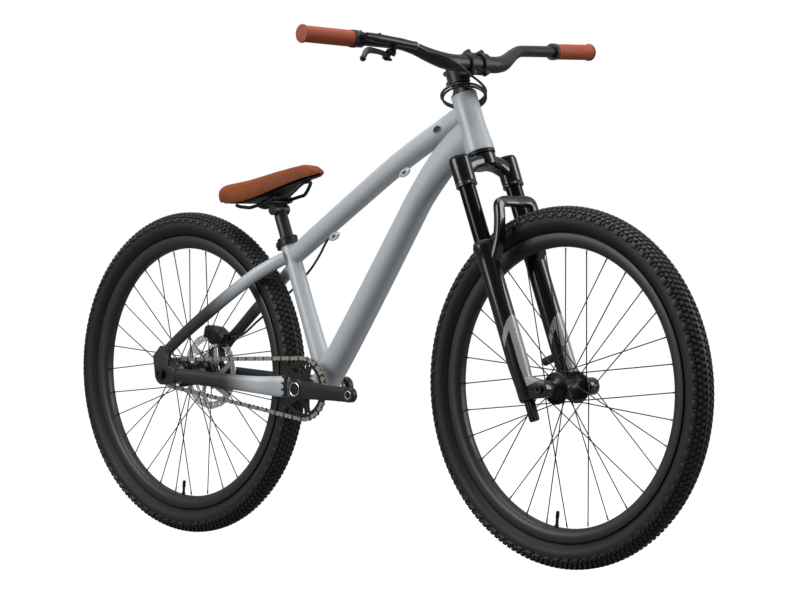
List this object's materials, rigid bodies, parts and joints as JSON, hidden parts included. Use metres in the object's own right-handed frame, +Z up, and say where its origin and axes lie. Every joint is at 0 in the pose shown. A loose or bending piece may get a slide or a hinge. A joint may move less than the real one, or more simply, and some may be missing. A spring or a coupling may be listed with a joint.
{
  "type": "dirt jump bike",
  "caption": "Dirt jump bicycle: rigid rear, sprung fork, low sloping frame, small saddle, riser bar, chain drive and a rear disc brake with a looped hose.",
  "frame": {"origin": "on the ground midway between the two axles, under the middle of the bike", "axes": "+X forward, +Y to the rider's left, +Z up"},
  "size_m": [1.7084, 0.8036, 0.9995],
  "materials": {
    "frame_paint": "light grey satin paint",
    "dark_paint": "charcoal satin paint",
    "gloss_black": "gloss black paint",
    "satin_black": "satin black anodised",
    "rubber_black": "matt rubber",
    "brown_rubber": "matt ribbed rubber",
    "brown_cover": "satin grained cover",
    "black_plastic": "matt moulded plastic",
    "steel": "brushed",
    "chain_steel": "oiled steel",
    "dark_chrome": "dark polished",
    "hose_black": "smooth hose"
  },
  "bodies": {
    "frame": {"head_tube": "frame_paint", "down_tube": "frame_paint", "top_tube": "frame_paint", "seat_tube": "frame_paint", "bottom_bracket_shell": "frame_paint", "left_chainstay": "dark_paint", "right_chainstay": "dark_paint", "left_seatstay": "dark_paint", "right_seatstay": "dark_paint", "left_bottom_bracket_cup": "satin_black", "right_bottom_bracket_cup": "satin_black", "seat_clamp": "satin_black", "headset_lower_cup": "satin_black", "headset_upper_cup": "satin_black", "rear_axle": "satin_black", "brake_caliper": "satin_black", "top_tube_grommet": "black_plastic", "chain": "chain_steel", "looped_hose": "hose_black", "frame_hose": "hose_black"},
    "steering": {"fork_crown_and_steerer": "gloss_black", "left_stanchion": "dark_chrome", "right_stanchion": "dark_chrome", "stem": "satin_black", "stem_faceplate": "satin_black", "headset_spacer": "satin_black", "headset_top_cap": "satin_black", "handlebar": "satin_black", "left_grip": "brown_rubber", "right_grip": "brown_rubber", "brake_lever_body": "satin_black", "bar_hose": "hose_black"},
    "fork_lowers": {"fork_lower_legs": "gloss_black", "left_wiper_seal": "black_plastic", "right_wiper_seal": "black_plastic", "front_axle": "steel"},
    "rebound_knob": {"rebound_knob": "satin_black"},
    "front_wheel": {"front_tyre": "rubber_black", "front_rim": "satin_black", "front_hub_and_spokes": "satin_black", "front_valve": "black_plastic"},
    "rear_wheel": {"rear_tyre": "rubber_black", "rear_rim": "satin_black", "rear_hub_and_spokes": "satin_black", "rear_valve": "black_plastic", "brake_rotor": "steel"},
    "cranks": {"right_crank_arm": "satin_black", "left_crank_arm": "satin_black", "crank_spindle": "steel", "chainring": "satin_black"},
    "rear_cog": {"rear_cog": "steel"},
    "brake_lever": {"brake_lever_blade": "satin_black"},
    "outer_pad": {"outer_brake_pad": "steel"},
    "inner_pad": {"inner_brake_pad": "steel"},
    "seatpost": {"seatpost": "satin_black"},
    "rail_clamp": {"saddle_clamp": "satin_black"},
    "saddle": {"saddle_rails": "satin_black", "saddle_base": "black_plastic", "saddle_cover": "brown_cover"}
  },
  "joints": [
    {"name": "steering", "type": "hinge", "parent": "frame", "child": "steering", "pos_m": [0.30821, 0, 0.77452], "axis": [-0.3584, 0, 0.9336], "range_deg": [-180, 180], "deforming": ["looped_hose"]},
    {"name": "fork_travel", "type": "slide", "parent": "steering", "child": "fork_lowers", "axis": [-0.3584, 0, 0.9336], "range_m": [0, 0.1], "stiffness_N_per_m": 9000, "springref_m": -0.02},
    {"name": "rebound_knob_turn", "type": "hinge", "parent": "fork_lowers", "child": "rebound_knob", "pos_m": [0.49241, -0.065, 0.29466], "axis": [-0.3584, 0, 0.9336], "range_deg": [-150, 150]},
    {"name": "front_wheel_spin", "type": "hinge", "parent": "fork_lowers", "child": "front_wheel", "pos_m": [0.519, 0, 0.337], "axis": [0, 1, 0], "continuous": true},
    {"name": "rear_wheel_spin", "type": "hinge", "parent": "frame", "child": "rear_wheel", "pos_m": [-0.519, 0, 0.337], "axis": [0, 1, 0], "continuous": true},
    {"name": "crank_spin", "type": "hinge", "parent": "frame", "child": "cranks", "pos_m": [-0.12717, 0, 0.3165], "axis": [0, 1, 0], "continuous": true, "deforming": ["chain"]},
    {"name": "cog_spin", "type": "hinge", "parent": "frame", "child": "rear_cog", "pos_m": [-0.519, 0, 0.337], "axis": [0, 1, 0], "continuous": true, "deforming": ["chain"]},
    {"name": "brake_lever_pull", "type": "hinge", "parent": "steering", "child": "brake_lever", "pos_m": [0.2709, -0.2115, 0.95195], "axis": [-0.6787, 0, -0.7344], "range_deg": [0, 14], "stiffness_Nm_per_rad": 0.6, "springref_deg": -20.05},
    {"name": "outer_pad_slide", "type": "slide", "parent": "frame", "child": "outer_pad", "axis": [0, -1, 0], "range_m": [0, 0.0005]},
    {"name": "inner_pad_slide", "type": "slide", "parent": "frame", "child": "inner_pad", "axis": [0, 1, 0], "range_m": [0, 0.0005]},
    {"name": "seatpost_height", "type": "slide", "parent": "frame", "child": "seatpost", "axis": [-0.3665, 0, 0.9304], "range_m": [-0.03, 0.04]},
    {"name": "saddle_tilt", "type": "hinge", "parent": "seatpost", "child": "rail_clamp", "pos_m": [-0.24519, 0, 0.67336], "axis": [0, 1, 0], "range_deg": [-7, 7]},
    {"name": "saddle_fore_aft", "type": "slide", "parent": "rail_clamp", "child": "saddle", "axis": [0.9781, 0, 0.2079], "range_m": [-0.015, 0.015]}
  ],
  "couplings": [
    {"joint": "cog_spin", "follows": "crank_spin", "ratio": 2.1429},
    {"joint": "outer_pad_slide", "follows": "brake_lever_pull", "m_per_rad": 0.002},
    {"joint": "inner_pad_slide", "follows": "brake_lever_pull", "m_per_rad": 0.002}
  ]
}
